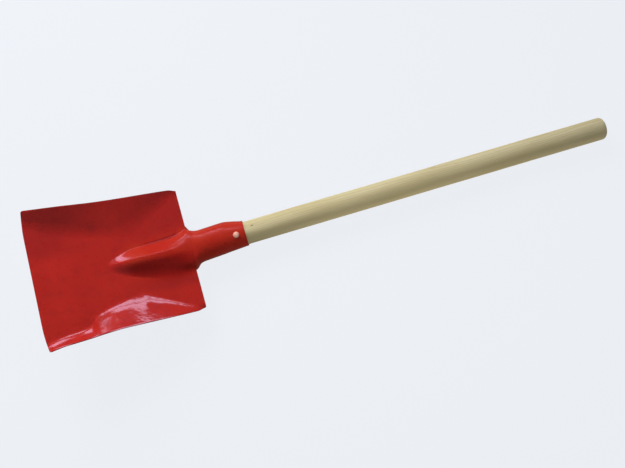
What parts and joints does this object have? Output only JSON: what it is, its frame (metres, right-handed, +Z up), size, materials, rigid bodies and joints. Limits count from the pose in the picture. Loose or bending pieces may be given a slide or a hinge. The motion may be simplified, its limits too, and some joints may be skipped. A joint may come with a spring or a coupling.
{
  "type": "garden spade",
  "caption": "Short garden spade with a square-mouthed dished blade pressed in one sheet with its rolled socket, on a straight round wooden handle held by a rivet",
  "frame": {"origin": "middle of the underside of the bounding box, with the spade lying on its back: it rests on the underside of its socket and on the lower edge of the handle's butt", "axes": "+X runs along the tool from the mouth of the blade to the butt of the handle, +Y is across the blade, +Z is up, out of the pan's open side"},
  "size_m": [0.7032, 0.163, 0.0866],
  "materials": {
    "red_enamel": "glossy red enamel over pressed sheet steel",
    "bare_wood": "bare pale hardwood, straight grain, sanded",
    "rivet_steel": "bare zinc-plated steel",
    "washer_steel": "bare zinc-plated steel"
  },
  "bodies": {
    "root": {"blade_with_socket": "red_enamel", "handle": "bare_wood", "rivet": "rivet_steel", "rivet_washer": "washer_steel"}
  },
  "joints": []
}
